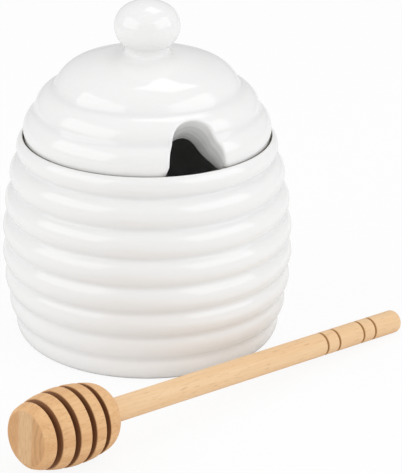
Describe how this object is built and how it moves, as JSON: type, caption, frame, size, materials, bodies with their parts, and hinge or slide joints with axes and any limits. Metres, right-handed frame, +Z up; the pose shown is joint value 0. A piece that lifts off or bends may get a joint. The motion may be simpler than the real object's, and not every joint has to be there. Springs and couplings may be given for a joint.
{
  "type": "beehive honey pot with lift-off lid and dipper",
  "caption": "White glazed porcelain honey pot shaped like a ringed beehive, with a notched lift-off lid and a turned wooden honey dipper lying beside it.",
  "frame": {"origin": "centre of the pot's foot ring, on the table", "axes": "+Z up along the pot's axis, -Y towards the viewer of the picture, +X to the viewer's right"},
  "size_m": [0.1386, 0.1724, 0.1199],
  "materials": {
    "porcelain": "glossy",
    "head_wood": "satin",
    "handle_wood": "satin"
  },
  "bodies": {
    "pot": {"pot": "porcelain"},
    "lid": {"lid": "porcelain"},
    "dipper": {"dipper_head": "head_wood", "dipper_handle": "handle_wood"}
  },
  "joints": [
    {"name": "lid_lift", "type": "slide", "parent": "pot", "child": "lid", "axis": [0, 0, 1], "range_m": [0, 0.08]},
    {"name": "dipper_lift", "type": "slide", "parent": "pot", "child": "dipper", "axis": [0, 0, 1], "range_m": [0, 0.15]}
  ]
}
